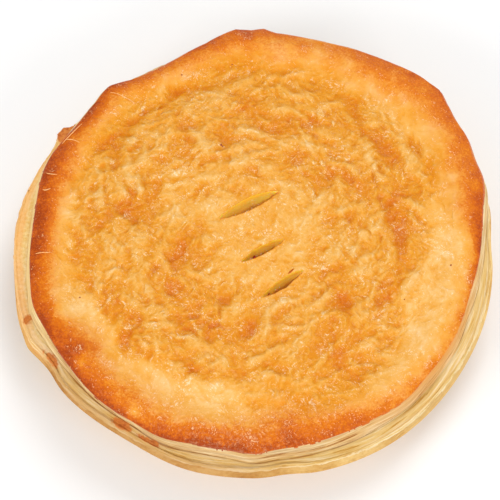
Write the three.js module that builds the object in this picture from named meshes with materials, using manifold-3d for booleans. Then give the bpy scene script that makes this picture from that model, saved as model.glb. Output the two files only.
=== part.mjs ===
// A round steak pie: a shortcrust case with a flat base, and a puff pastry lid with three steam slits.
// Millimetres, +Z up. The origin is the bottom centre of the pie, where it stands.

import * as THREE from 'three';
import { mergeVertices } from 'three/addons/utils/BufferGeometryUtils.js';
import { ImprovedNoise } from 'three/addons/math/ImprovedNoise.js';
import Module from 'manifold-3d';

// Driving dimensions
const PIE_WIDTH = 200; // across the rim of the case
const BASE_WIDTH = 168; // across the flat base
const SEAM_HEIGHT = 26.6; // from the base to the joint between case and lid
const RIM_THICKNESS = 8.6; // the case's flange, where the lid is pressed on
const LID_THICKNESS = 10.1; // the puffed cut edge of the lid
const LID_WIDTH = 186; // across the lid's top edge
const LID_FLARE = 3; // how much wider the lid is at its foot than at its top edge
const LID_DOME = 3.6; // the middle of the lid over its edge
const PASTRY_GAP = 0.3; // between lid and case, along the seam
const FLANGE_REACH = 7; // how far the flange stands out from the top of the wall
const BASE_ROUND = 5; // the rounding between base and wall
const LEVEL_RADIUS = 40; // the seam is level inside this
const WAVY_RADIUS = 80; // and wavy outside this

// Forms of the lid's top, with their place as a share of its radius
const RIM_ROLL = { height: 1.9, share: 0.93, spread: 0.07 };
const VALLEY = { height: -1.2, share: 0.79, spread: 0.08 };
const RIM_SWELL = { height: 1.6, length: 34 };
const PUCKERS = [
  { height: 0.9, length: 21, layer: 3.3 },
  { height: 0.6, length: 12, layer: 8.7 },
];

// Leaves that show at the two cut edges
const CASE_LEAVES = { count: 3, groove: 0.8 };
const LID_LEAVES = { count: 4, groove: 0.9 };
const RAGGING = { depth: 1.1, length: 9, perHeight: 0.55 };
const SEAM_WAVES = [
  { height: 0.5, times: 2, phase: 0.4 },
  { height: 0.6, times: 5, phase: 2 },
];

// Mesh density
const SEGMENTS = 120; // steps round the pie
const TOP_RINGS = 21; // steps from the lid's edge to its middle

const caseRadius = PIE_WIDTH / 2;
const baseRadius = BASE_WIDTH / 2;
const lidRadius = LID_WIDTH / 2;
const lidFoot = SEAM_HEIGHT + PASTRY_GAP;
const lidEdge = SEAM_HEIGHT + LID_THICKNESS;

// Swellings and flats of the two hand-made outlines, with 0 degrees at +X and 90 at +Y:
// where each one is, how far it reaches out, and how many degrees it spreads.
const CASE_OUTLINE = [
  { at: 0, out: -0.6, spread: 4 },
  { at: 10.5, out: 1.4, spread: 5 },
  { at: 118, out: -6, spread: 20 }, // flattened at the back left
  { at: 148.4, out: 2.5, spread: 2.5 }, // flake that stands out
  { at: 150, out: -3.4, spread: 16 },
  { at: 139, out: -3.2, spread: 6 },
  { at: 201, out: 1.2, spread: 7 },
  { at: 206.5, out: 0.8, spread: 2.5 },
  { at: 214, out: -1.2, spread: 4 }, // thumb mark
  { at: 238, out: -2, spread: 12 },
  { at: 264, out: -0.5, spread: 14 },
  { at: 278, out: -1.3, spread: 5 },
  { at: 305, out: 1.4, spread: 20 },
  { at: 338, out: 0.5, spread: 14 },
];
const LID_OUTLINE = [
  { at: 13.7, out: 4.1, spread: 8.5 },
  { at: 24.8, out: 2.5, spread: 4.8 },
  { at: 41, out: 8.4, spread: 14.6 }, // the side that rose furthest
  { at: 62, out: 1.2, spread: 7.9 },
  { at: 118, out: -7.8, spread: 15.7 }, // pulled in at the back left
  { at: 147, out: -4.6, spread: 12.6 },
  { at: 176, out: -3.8, spread: 16 },
  { at: 201, out: 1, spread: 5 },
  { at: 231, out: 1.3, spread: 9 },
  { at: 248, out: 2, spread: 8 },
  { at: 270, out: 1.4, spread: 4.5 },
  { at: 309, out: 0.9, spread: 6 },
  { at: 342, out: -1.4, spread: 10 },
];

// Corners that the knife left between its cuts round the lid, each with straight sides.
const LID_CORNERS = [
  { at: 39, out: 0.9, spread: 3 },
  { at: 87, out: 1.7, spread: 3.4 },
  { at: 94.4, out: 2.7, spread: 8.3 },
  { at: 132.3, out: 1.9, spread: 6 },
];

// Where the lid's cut edge stands more upright than elsewhere.
const UPRIGHT_EDGES = [
  { at: 243, out: -3, spread: 38 },
  { at: 320, out: -1.2, spread: 25 },
];

// Steam slits: middle, length and opening on the lid, and the direction of the knife.
const SLITS = [
  { x: -1.6, y: 8.7, length: 26, opening: 4.4, degrees: 28 },
  { x: 4.1, y: -11.4, length: 20, opening: 3.4, degrees: 30 },
  { x: 12.2, y: -25.9, length: 20, opening: 3.4, degrees: 34 },
];
const SLIT_DEPTH = 9;
const SLIT_ROW = new THREE.Vector2(4.9, -9.5); // the middle of the three

const noise = new ImprovedNoise();
const { clamp, smoothstep, degToRad, radToDeg, euclideanModulo } = THREE.MathUtils;

// A smooth hump of height 1 round zero.
function hump(distance, spread) {
  return Math.exp(-((distance / spread) ** 2));
}

// A corner of height 1 at zero, with straight sides.
function corner(distance, spread) {
  return Math.max(0, 1 - Math.abs(distance) / spread);
}

// How far the features of an outline reach out in one direction.
function outlineShift(features, form, angle) {
  const degrees = radToDeg(angle);
  return features.reduce((shift, { at, out, spread }) => {
    const away = euclideanModulo(degrees - at + 180, 360) - 180;
    return shift + out * form(away, spread);
  }, 0);
}

// The seam dips and lifts round the rim, and is level under the filling.
function seamWave(angle, radius) {
  const wave = SEAM_WAVES.reduce((z, { height, times, phase }) => {
    return z + height * Math.sin(times * angle + phase);
  }, 0);
  return wave * smoothstep(radius, LEVEL_RADIUS, WAVY_RADIUS);
}

// The lid's smooth form over its edge: a rolled rim, a shallow valley inside it and a low dome.
function lidForm(share) {
  const dome = LID_DOME * (1 - share ** 2);
  const bullnose = Math.sqrt(1 - share ** 30);
  const ring = (form) => form.height * hump(share - form.share, form.spread);
  return (dome + ring(RIM_ROLL) + ring(VALLEY)) * bullnose;
}

// The skin that shrank over the filling: ridges between dents, calm near the slits and on the rim.
function lidPuckers(x, y, share) {
  const field = 1 - smoothstep(share, 0.72, 0.9);
  const calm = 0.25 + 0.75 * smoothstep(Math.hypot(x - SLIT_ROW.x, y - SLIT_ROW.y), 14, 34);
  const ridges = PUCKERS.map(({ height, length, layer }) => {
    return height * (1 - 3 * Math.abs(noise.noise(x / length, y / length, layer)));
  });
  return field * calm * (ridges[0] + ridges[1]);
}

// Slow swells along the rim, as the puff pastry rose unevenly.
function rimSwell(x, y, share) {
  const { height, length } = RIM_SWELL;
  return height * noise.noise(x / length, y / length, 5.9) * smoothstep(share, 0.6, 0.95);
}

// The ragged leaves of a cut pastry edge, as a shift of its radius.
function leafRagging(angle, z) {
  const around = caseRadius / RAGGING.length;
  const drift = noise.noise(around * Math.cos(angle), around * Math.sin(angle), z * RAGGING.perHeight);
  return RAGGING.depth * drift;
}

// Turns a profile round the Z axis and moves each vertex to where place(angle, radius, z) says.
function turnedPastry(profile, place) {
  const lathe = new THREE.LatheGeometry(profile, SEGMENTS).rotateX(Math.PI / 2);
  lathe.deleteAttribute('normal');
  lathe.deleteAttribute('uv');
  const geometry = mergeVertices(lathe, 1e-4);
  const position = geometry.attributes.position;
  for (let i = 0; i < position.count; i++) {
    const x = position.getX(i);
    const y = position.getY(i);
    const moved = place(Math.atan2(y, x), Math.hypot(x, y), position.getZ(i));
    position.setXYZ(i, moved.x, moved.y, moved.z);
  }
  return geometry;
}

function polar(angle, radius, z) {
  return new THREE.Vector3(radius * Math.cos(angle), radius * Math.sin(angle), z);
}

// The steps of a cut edge from one height to another: leaves of pastry with grooves between them.
function leafSteps(radiusFrom, zFrom, radiusTo, zTo, { count, groove }) {
  const steps = count * 2;
  return Array.from({ length: steps - 1 }, (_, i) => {
    const t = (i + 1) / steps;
    const inset = i % 2 ? groove : 0;
    return new THREE.Vector2(
      THREE.MathUtils.lerp(radiusFrom, radiusTo, t) - inset,
      THREE.MathUtils.lerp(zFrom, zTo, t),
    );
  });
}

// The case: flat base, leaning wall, and a flange with a leafy edge. It is solid up to the seam.
function caseGeometry() {
  const flangeFoot = SEAM_HEIGHT - RIM_THICKNESS;
  const wallTop = caseRadius - FLANGE_REACH;
  const profile = [
    new THREE.Vector2(0, 0),
    new THREE.Vector2(baseRadius - BASE_ROUND, 0),
    new THREE.Vector2(baseRadius - 1.6, 0.9),
    new THREE.Vector2(baseRadius, 3.6),
    new THREE.Vector2((baseRadius + wallTop) / 2, flangeFoot / 2 + 1),
    new THREE.Vector2(wallTop, flangeFoot - 1.2),
    new THREE.Vector2(caseRadius - 2.6, flangeFoot),
    new THREE.Vector2(caseRadius - 0.3, flangeFoot + 1),
    ...leafSteps(caseRadius, flangeFoot + 1, caseRadius - 2.2, SEAM_HEIGHT, CASE_LEAVES),
    new THREE.Vector2(caseRadius - 3.2, SEAM_HEIGHT),
    new THREE.Vector2(WAVY_RADIUS, SEAM_HEIGHT),
    new THREE.Vector2(LEVEL_RADIUS, SEAM_HEIGHT),
    new THREE.Vector2(0, SEAM_HEIGHT),
  ];
  return turnedPastry(profile, (angle, radius, z) => {
    const lift = clamp(z / SEAM_HEIGHT, 0, 1);
    const shift = outlineShift(CASE_OUTLINE, hump, angle);
    const rimShare = smoothstep(radius, WAVY_RADIUS, wallTop - 1);
    const ragged = z > flangeFoot && z < SEAM_HEIGHT ? leafRagging(angle, z) : 0;
    return polar(angle, radius + shift * rimShare + ragged, z + lift * seamWave(angle, radius));
  });
}

// The lid: level below, a leafy cut edge that flares to its foot, and the baked top.
function lidGeometry() {
  const footRadius = lidRadius + LID_FLARE;
  const profile = [
    new THREE.Vector2(0, lidFoot),
    new THREE.Vector2(LEVEL_RADIUS, lidFoot),
    new THREE.Vector2(WAVY_RADIUS, lidFoot),
    new THREE.Vector2(footRadius - 1, lidFoot),
    ...leafSteps(footRadius, lidFoot, lidRadius, lidEdge, LID_LEAVES),
  ];
  for (let ring = 0; ring <= TOP_RINGS; ring++) {
    const share = 1 - (ring / TOP_RINGS) ** 1.15;
    profile.push(new THREE.Vector2(lidRadius * share, lidEdge + lidForm(share)));
  }
  return turnedPastry(profile, (angle, radius, z) => {
    const lift = clamp((z - lidFoot) / (lidEdge - lidFoot), 0, 1);
    const share = Math.min(radius / lidRadius, 1);
    const upright = outlineShift(UPRIGHT_EDGES, hump, angle) * (1 - lift);
    const outline = outlineShift(LID_OUTLINE, hump, angle) + outlineShift(LID_CORNERS, corner, angle);
    const shift = outline + upright;
    const onEdge = lift > 0 && lift < 1;
    const rimShare = lift < 1 ? smoothstep(radius, WAVY_RADIUS, lidRadius - 4) : share ** 3;
    const moved = polar(angle, radius + shift * rimShare + (onEdge ? leafRagging(angle, z) : 0), z);
    const relief = lidPuckers(moved.x, moved.y, share) + rimSwell(moved.x, moved.y, share);
    moved.z += (1 - lift) * seamWave(angle, radius) + lift * relief;
    return moved;
  });
}

// A steam slit as a solid to cut away: a narrow gash that closes downwards.
function slitGeometry({ x, y, length, opening, degrees }) {
  const gash = new THREE.SphereGeometry(1, 20, 10);
  gash.scale(length / 2, opening / 2, SLIT_DEPTH);
  gash.rotateZ(degToRad(degrees));
  return gash.translate(x, y, lidEdge + lidForm(Math.hypot(x, y) / lidRadius));
}

const wasm = await Module();
wasm.setup();

// Closed three.js geometry to a solid, and back.
function toSolid(geometry) {
  const bare = new THREE.BufferGeometry();
  bare.setIndex(geometry.index);
  bare.setAttribute('position', geometry.attributes.position);
  const merged = mergeVertices(bare, 1e-4);
  return new wasm.Manifold(
    new wasm.Mesh({
      numProp: 3,
      vertProperties: new Float32Array(merged.attributes.position.array),
      triVerts: new Uint32Array(merged.index.array),
    }),
  );
}

function toGeometry(solid) {
  const { vertProperties, triVerts } = solid.getMesh();
  const geometry = new THREE.BufferGeometry();
  geometry.setAttribute('position', new THREE.BufferAttribute(vertProperties, 3));
  geometry.setIndex(new THREE.BufferAttribute(triVerts, 1));
  geometry.computeVertexNormals();
  return geometry;
}

function slittedLid() {
  const whole = toSolid(lidGeometry());
  return toGeometry(SLITS.reduce((lid, slit) => lid.subtract(toSolid(slitGeometry(slit))), whole));
}

const shortcrust = new THREE.MeshStandardMaterial({ color: '#e6c07c', roughness: 0.75, metalness: 0 });
const glazedPuff = new THREE.MeshStandardMaterial({ color: '#eb9c3e', roughness: 0.45, metalness: 0 });

const pastryCase = new THREE.Mesh(toGeometry(toSolid(caseGeometry())), shortcrust);
pastryCase.name = 'pastry_case';

const pastryLid = new THREE.Mesh(slittedLid(), glazedPuff);
pastryLid.name = 'pastry_lid';

const pie = new THREE.Group();
pie.add(pastryCase, pastryLid);

// The uneven outline is centred on the origin.
const centre = new THREE.Box3().setFromObject(pie).getCenter(new THREE.Vector3());
pie.children.forEach((piece) => piece.position.set(-centre.x, -centre.y, 0));

export default pie;
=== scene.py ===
import math
from functools import partial

import bpy
import numpy as np
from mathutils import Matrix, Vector, noise


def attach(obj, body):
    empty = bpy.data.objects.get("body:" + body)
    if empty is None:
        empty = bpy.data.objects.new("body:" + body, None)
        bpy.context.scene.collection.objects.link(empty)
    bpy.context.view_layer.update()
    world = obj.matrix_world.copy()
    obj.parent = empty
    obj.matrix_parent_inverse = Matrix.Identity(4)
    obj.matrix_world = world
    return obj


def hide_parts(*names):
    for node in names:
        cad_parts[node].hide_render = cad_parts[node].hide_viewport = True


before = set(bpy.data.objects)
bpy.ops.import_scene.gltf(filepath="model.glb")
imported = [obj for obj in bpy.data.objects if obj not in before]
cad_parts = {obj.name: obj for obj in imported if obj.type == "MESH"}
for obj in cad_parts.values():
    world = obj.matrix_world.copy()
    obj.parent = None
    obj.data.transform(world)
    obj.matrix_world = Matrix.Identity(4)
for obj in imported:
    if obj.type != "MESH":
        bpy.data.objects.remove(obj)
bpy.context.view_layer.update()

mm = 0.001
pieMiddle = (-0.13, -0.01)  # mm, middle of the round base in the part's frame
sides = dict(  # where the crust differs, and where light and shade are painted, counted round from the right: degrees, degrees of spread
    sharpBrown=(184, 24), darkLip=(240, 28), flecked=(265, 42), toastedCut=(322, 22), pressed=(182, 25),
    flake=(147.5, 4.2), smoothLedge=(180, 30), buttery=(177, 13), warmEdge=(182, 34), tucked=(238, 18),
    frayed=(308, 34), paleEdge=(327, 17),
)


# Small helpers

def toLinear(code):
    parts = [int(code[i:i + 2], 16) / 255 for i in (1, 3, 5)]
    return [c / 12.92 if c <= 0.04045 else ((c + 0.055) / 1.055) ** 2.4 for c in parts] + [1.0]


def setInputs(node, inputs):
    # by name or in the node's order (MapRange: value, low, high, new low, new high);
    # a node stands for its usual output
    named = inputs if isinstance(inputs, dict) else dict(enumerate(inputs))
    for name, value in named.items():
        if isinstance(value, bpy.types.Node):
            mixesColour = getattr(value, "data_type", "") == "RGBA"
            value = value.outputs[2 if mixesColour else 0]
        if isinstance(value, bpy.types.NodeSocket):
            node.id_data.links.new(value, node.inputs[name])
        else:
            node.inputs[name].default_value = value


def addNode(tree, kind, inputs={}, stops=None, **settings):
    node = tree.nodes.new("ShaderNode" + kind)
    for name, value in settings.items():
        setattr(node, name, value)
    setInputs(node, inputs)
    if stops:
        ramp = node.color_ramp
        for place, code in stops[1:-1]:
            ramp.elements.new(place).color = toLinear(code)
        ramp.elements[0].position, ramp.elements[0].color = stops[0][0], toLinear(stops[0][1])
        ramp.elements[-1].position, ramp.elements[-1].color = stops[-1][0], toLinear(stops[-1][1])
    return node


def hump(distance, spread):
    return np.exp(-(distance / spread) ** 2)


def ease(value, low, high):
    t = np.clip((value - low) / (high - low), 0, 1)
    return t * t * (3 - 2 * t)


def turnBetween(degrees, at):
    return (degrees - at + 180) % 360 - 180


def sideAt(degrees, name):
    at, spread = sides[name]
    return hump(turnBetween(degrees, at), spread)


def withHumps(values, degrees, marks):
    for at, out, spread in marks:
        values = values + out * hump(turnBetween(degrees, at), spread)
    return values


def outlineAt(mean, shape, degrees):
    radius = withHumps(np.full_like(degrees, mean), degrees, shape["outline"])
    for at, out, spread in shape["corners"]:
        radius += out * np.clip(1 - np.abs(turnBetween(degrees, at)) / spread, 0, 1)
    return radius


def alongAcross(x, y, degrees):
    # how far a place lies along and across a line at an angle
    c, s = math.cos(math.radians(degrees)), math.sin(math.radians(degrees))
    return x * c + y * s, y * c - x * s


def noiseAt(x, y, layer, size):
    layers = np.broadcast_to(layer, np.shape(x))
    return np.array([noise.noise((a / size, b / size, c)) for a, b, c in zip(x, y, layers)])


def nearestCell(x, y, layer, size):
    # distance to the nearest of scattered points, in cell sizes
    return np.array([noise.voronoi((a / size, b / size, layer))[0][0] for a, b in zip(x, y)])


def around(degrees, length, height, drop):
    # streaks that run along the edge: long round the pie, short in height
    turn, rimRadius = np.radians(degrees), 96
    xs, ys, zs = rimRadius / length * np.cos(turn), rimRadius / length * np.sin(turn), height / drop
    return np.array([noise.noise((a, b, c)) for a, b, c in zip(xs, ys, zs)])


def leavesAt(degrees, height, leaves):
    return sum(out * around(degrees, length, height, drop) for out, length, drop in leaves)


def startFresh():
    if bpy.context.object and bpy.context.object.mode != "OBJECT":
        bpy.ops.object.mode_set(mode="OBJECT")
    bpy.ops.object.select_all(action="DESELECT")


def editAll():
    bpy.ops.object.mode_set(mode="EDIT")
    bpy.ops.mesh.select_all(action="SELECT")


def pickAll(pieces):
    startFresh()
    for piece in pieces:
        piece.select_set(True)
    bpy.context.view_layer.objects.active = pieces[0]


def joinAll(pieces, name):
    pickAll(pieces)
    bpy.ops.object.join()
    bpy.context.object.name = name
    return bpy.context.object


def readPoints(obj):
    flat = np.empty(len(obj.data.vertices) * 3)
    obj.data.vertices.foreach_get("co", flat)
    return flat.reshape(-1, 3)


def placePoints(obj, x, y, z):
    # mm from the middle of the base
    places = np.stack([(x + pieMiddle[0]) * mm, (y + pieMiddle[1]) * mm, z * mm], axis=1)
    obj.data.vertices.foreach_set("co", places.ravel())
    obj.data.update()


def storeOnPoints(obj, **fields):
    for name, values in fields.items():
        layer = obj.data.attributes.new(name, "FLOAT", "POINT")
        layer.data.foreach_set("value", np.asarray(values, dtype=float))


# Seam between the lid and the case

seam = dict(
    waves=[(0.5, 2, 0.4), (0.6, 5, 2)],  # mm, times round the pie, phase
    starts=40, full=80,  # mm from the middle
    tanned=[(205, 12), (256, 38)],  # edges browner and darker from the low left to the front, partly painted shade: degrees, fade
    tan="#e0cebf",  # multiplied in there: browner, and partly painted shade
)


def seamWave(degrees, radius):
    turn = np.radians(degrees)
    wave = sum(high * np.sin(times * turn + phase) for high, times, phase in seam["waves"])
    return wave * ease(radius, seam["starts"], seam["full"])


def tannedAt(degrees):
    (starts, fadeIn), (ends, fadeOut) = seam["tanned"]
    return ease(turnBetween(degrees, starts), 0, fadeIn) * (1 - ease(turnBetween(degrees, ends), 0, fadeOut))


# Pastry lid

lid = dict(
    radius=93, foot=26.9, edge=36.7, flare=3, dome=3.6,  # mm
    rimRoll=(1.9, 0.93, 0.07), valley=(-1.2, 0.79, 0.08),  # mm up, share of the radius, spread
    roundness=30,  # the higher, the tighter the skin turns over at the edge
    billow=1.6, billowSize=34,  # mm that the rim rises and falls, and over how far
    upright=[  # where the cut edge flares less: degrees, mm, degrees of spread
        (243, -3, 38), (320, -1.2, 25), (234, -1.2, 15),
    ],
    cells=256,  # across the top
    leafRings=24,  # down the cut edge
    underside=[1, 0.86, 0.43, 0],  # rings below, as shares of the radius
    leaves=[(0.75, 30, 1.7), (0.4, 13, 0.8)],  # mm out, mm round the pie, mm thick
    outline=[  # degrees, mm out, degrees of spread
        (13.7, 4.1, 8.5), (24.8, 2.5, 4.8), (41, 8.4, 14.6), (62, 1.2, 7.9), (118, -7.8, 15.7),
        (147, -4.6, 12.6), (176, -3.8, 16), (201, 1, 5), (231, 1.3, 9), (248, 2, 8), (270, 1.4, 4.5),
        (309, 0.9, 6), (342, -1.4, 10),
    ],
    corners=[  # the same, with straight sides
        (39, 0.9, 3), (87, 1.7, 3.4), (94.4, 2.7, 8.3), (132.3, 1.9, 6),
    ],
    slits=[  # x, y, length, opening, degrees
        (-1.5, 9.4, 27.2, 5.5, 27.5), (4, -11.2, 20, 3.6, 30), (12.1, -25.7, 20, 3.8, 34),
    ],
    slitDepth=7.5, slitLean=1.2,  # mm, and mm that the bottom lies under the near lip
    scratches=[  # the same, where the knife only marked the skin
        (19.2, -21.6, 4.5, 0.5, 38), (15.2, -20.6, 4, 0.8, 42),
    ],
    scratchDepth=0.2, scratchTone=0.4,  # mm, and tone of the marked skin
    seed=11,
    ripples=[  # how many, wave, half length, half width, height
        (240, 12, 10, 6, 0.8), (800, 6.5, 6, 3.2, 0.55),
    ],
    warps=[(13, 3.0, 1.7), (5, 1.6, 3.1), (2.2, 0.8, 5.3)],  # size, mm of push, noise layer
    creases=[(9, 0.6, 21.7), (4, 0.4, 23.9)],  # size, strength, noise layer
    calm=[  # x, y, stretch, wrinkles left, from and to mm: round the slits and left of the first
        (4, -6, 0.88, 0, 13, 34), (-25, 17, 1, 0.25, 7, 21),
    ],
    relief=dict(waves=0.7, creases=1.1, crinkle=0.3, lumps=0.6, dents=1.2),  # mm
    shade=dict(waves=0.24, creases=0.4, crinkle=0.25, lumps=0.3, dents=0.75),  # pale above 0
    taut=0.12,  # share of the relief on the taut band inside the rim
    grain=0.07, grainSize=1.5,  # mm
    bandTone=0.96, slackTone=0.53,  # of the taut band and of the slack skin
    dents=[  # x, y, half length, half width, degrees, depth
        (60.5, 12, 4.5, 2.5, 70, 1.0), (-58.5, 4.5, 6.5, 2.4, 33, 1.0), (-50, 7, 9.5, 5, 6, 0.9),
        (-44, 10, 7.5, 4, 52, 0.6), (-24, -61.5, 3.2, 2, 167, 1.0), (-50, -51.5, 6.5, 2.4, 120, 1.0),
        (-59.5, 41.5, 5.4, 2.4, 69, 1.0), (-38.5, -58, 6, 1.7, 131, 0.9), (54.5, -24, 6.5, 3.3, 72, 0.9),
        (46, 43, 7.5, 2.3, 121, 0.9), (-31.5, -29, 4.2, 3.2, 64, 0.9), (23.5, 46, 7, 3.5, 28, 0.9),
        (-71, -14.5, 6.2, 2.5, 93, 0.9), (-15, -43, 4.2, 3.1, 72, 0.9), (40.5, 3, 4.2, 2.3, 76, 0.9),
        (60, -4.5, 9.5, 3.3, 77, 0.9), (-28, -12, 9, 4.5, 92, 0.8), (15, 45, 10, 4, 170, 0.7),
        (-47.5, 51, 10, 2.2, 29, 0.8), (-29.5, 43.5, 5.2, 2, 119, 0.8), (-2.5, -47, 7.5, 3, 52, 0.8),
        (-46.5, -39.5, 3.7, 2.7, 105, 0.8), (53.5, 36, 9.5, 4.3, 130, 0.8), (-10.5, 43, 4, 3.5, 98, 0.7),
        (-12, -33.5, 4.5, 2, 135, 0.7), (36, -33, 6.3, 1.8, 117, 0.7), (33.5, -19, 7.3, 3.5, 19, 0.7),
        (-1, 55, 8, 3.1, 141, 0.7), (-57, 27, 2.7, 2, 61, 0.7), (-27.5, -42, 6.2, 1.8, 128, 0.6),
        (10.5, -61, 4.6, 3.9, 0, 0.6), (34.5, -55.5, 5, 2.8, 97, 0.6), (-58, -36, 6, 4, 77, 0.6),
        (17, 31, 4.1, 2.7, 108, 0.6), (-31, 63.5, 7.3, 2, 23, 0.6), (34.5, 23, 4, 3, 138, 0.6),
        (16.5, -73.5, 5.5, 2, 163, 0.6), (25.5, 21, 5, 2.2, 155, 0.6), (72, 27, 6.2, 2, 107, 0.6),
        (45, 17.5, 6.5, 3.1, 149, 0.6), (-20, 16, 7, 4.2, 29, 0.5), (36, 58, 8.6, 2.8, 151, 0.5),
        (-66, 30.5, 6.7, 1.5, 59, 0.5), (-40, -12.5, 2.7, 2.1, 69, 0.6), (-38, -20, 3.4, 1.8, 14, 0.5),
    ],
    patches=[  # x, y, radius, paler: calm or drier skin, and below 0 skin that took more glaze
        (-34, 8, 8, 0.35), (-15, 4, 5, 0.3), (11, 18, 5, 0.3), (-4, 51, 4, 0.3), (-33, 60, 4, 0.35),
        (-60, -21, 4.5, 0.35), (34, -42, 9, -0.35), (28, -53, 4, -0.3), (-38, -51, 8, -0.3),
        (11, -16, 4, -0.35), (-4, -30, 6, -0.3), (1, -44, 5, -0.3), (41, -66, 7, -0.3),
        (-73, -30, 4, -0.3),
    ],
    browning=[  # degrees, darkness at the edge, mm that it fades over
        (6, 0.66, 11), (17, 0.52, 16), (28, 0.52, 11), (39, 0.58, 13), (50, 0.62, 15), (61, 0.48, 16),
        (72, 0.34, 20), (82, 0.5, 16), (91, 0.6, 15), (101, 0.66, 10.5), (110, 0.6, 10.5),
        (120, 0.48, 11), (130, 0.68, 9), (140, 0.78, 8.5), (151, 0.75, 8.5), (163, 0.74, 14),
        (174, 0.84, 10), (185, 0.84, 10.2), (196, 0.56, 11.5), (206, 0.88, 6.5), (216, 0.72, 14),
        (226, 0.66, 11.5), (235, 0.5, 15), (244, 0.58, 12), (253, 0.8, 9), (261, 0.9, 7), (270, 0.64, 13),
        (278, 0.74, 16), (287, 0.55, 14), (295, 0.57, 9.5), (304, 0.46, 7.5), (314, 0.42, 6),
        (324, 0.32, 6), (334, 0.42, 5), (344, 0.4, 4.8), (355, 0.85, 3.2),
    ],
    scorches=[  # x, y, radius, darker
        (-79, -41, 4, 0.12), (-69, -51, 4, 0.1), (-62.7, -51.7, 4, 0.16), (-67.5, -58.4, 3, -0.25),
        (-57, -71, 3.5, 0.1), (-46, -79, 3, -0.3), (-48, -72, 3.5, 0.15), (-34, -85, 3.5, 0.1),
        (-13, -92, 6, 0.12), (36, -84, 4, 0.1), (-87, 20, 4, 0.12), (-84, 30, 4, 0.1),
    ],
    border=[  # degrees, share of the radius where the slack skin ends
        (6, 0.8), (17, 0.87), (28, 0.83), (39, 0.77), (50, 0.78), (61, 0.83), (82, 0.86), (120, 0.88),
        (151, 0.87), (174, 0.82), (196, 0.8), (206, 0.76), (216, 0.77), (226, 0.78), (235, 0.75),
        (261, 0.74), (270, 0.81), (278, 0.84), (287, 0.87), (314, 0.87), (324, 0.79), (334, 0.75),
        (355, 0.8),
    ],
    skinHangs=[  # where the browned skin reaches down the cut edge: degrees, share of it, spread
        (229, 0.3, 9), (262, 0.22, 6), (34, 0.7, 18),
    ],
)


def scatterRipples():
    # slack skin lies in short wave trains, along the border near it and at random in the middle:
    # place, direction, wave, half length, half width, phase, height, curve
    chance = np.random.default_rng(lid["seed"])
    ripples = []
    for count, wave, long, wide, height in lid["ripples"]:
        for i in range(count):
            away, turn = lid["radius"] * 0.84 * math.sqrt(chance.random()), chance.uniform(0, 360)
            atX, atY = away * math.cos(math.radians(turn)), away * math.sin(math.radians(turn))
            nearBorder = float(ease(np.array(away), 30, 62))
            flow = 150 * noise.noise((atX / 28, atY / 28, 6.4)) * (1 - 0.7 * nearBorder)
            flow += chance.normal(0, 14)
            size, curve = chance.uniform(0.7, 1.3), chance.normal(0, 0.02) + 0.5 * nearBorder / away
            ripples.append((atX, atY, turn + 90 + flow, wave * size, long * size, wide * size,
                            chance.uniform(0, 6.28), height * chance.uniform(0.5, 1.2), curve))
    return ripples


def lidForm(share):
    # rolled rim, valley inside it and a low dome, as the solid has
    rise = lid["dome"] * (1 - share ** 2)
    for up, at, spread in (lid["rimRoll"], lid["valley"]):
        rise = rise + up * hump(share - at, spread)
    return rise * np.sqrt(np.clip(1 - share ** lid["roundness"], 0, 1))


def warped(x, y):
    # places pushed about at three sizes, so that no wrinkle runs straight
    warpX, warpY, otherLayer = x.copy(), y.copy(), 7.5
    for size, push, layer in lid["warps"]:
        warpX += push * noiseAt(x, y, layer, size)
        warpY += push * noiseAt(x, y, layer + otherLayer, size)
    return warpX, warpY


def slackField(x, y, share):
    # 1 where the skin lies slack in the middle, 0 on the taut band inside the rim
    at, reach = np.array(lid["border"]).T
    beyond = share - np.interp(np.degrees(np.arctan2(y, x)), at, reach, period=360)
    beyond += 0.04 * noiseAt(x, y, 4.4, 16) + 0.03 * noiseAt(x, y, 9.4, 6)  # uneven at 16 and 6 mm
    return 1 - ease(beyond, -0.05, 0.04)


def calmAt(x, y):
    calm = np.ones_like(x)
    for atX, atY, stretch, least, near, far in lid["calm"]:
        away = np.hypot(x - atX, (y - atY) * stretch)
        calm = np.minimum(calm, least + (1 - least) * ease(away, near, far))
    return 0.3 + 0.7 * calm


def waveTrains(x, y, warpX, warpY):
    # the trains add up, with high crests and shallow troughs
    swell = np.zeros_like(x)
    for atX, atY, turn, wave, long, wide, phase, tall, curve in lid["scatter"]:
        near = np.hypot(x - atX, y - atY) < 2 * long
        along, across = alongAcross(warpX[near] - atX, warpY[near] - atY, turn)
        across = across - curve / 2 * along ** 2
        train = np.exp(-(along / long) ** 2 - (across / wide) ** 2)
        swell[near] += tall * train * np.cos(2 * math.pi * across / wave + phase)
    return np.tanh(swell) + 0.3 * np.tanh(swell) ** 2


def creasesAt(warpX, warpY):
    # sharp ridges where the skin has crumpled, level on the whole
    ridges = np.zeros_like(warpX) - 0.56
    for size, strength, layer in lid["creases"]:
        ridges += strength * (1 - 2.2 * np.abs(noiseAt(warpX, warpY, layer, size)))
    return ridges


def dentsAt(warpX, warpY):
    hollow = np.zeros_like(warpX)
    for atX, atY, long, wide, turn, depth in lid["dents"]:
        along, across = alongAcross(warpX - atX, warpY - atY, turn)
        reach = np.hypot(along / (long * 1.2), across / (wide * 1.3))  # a little softer than listed
        hollow = np.maximum(hollow, depth * hump(reach, 0.9))
    return hollow


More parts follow.
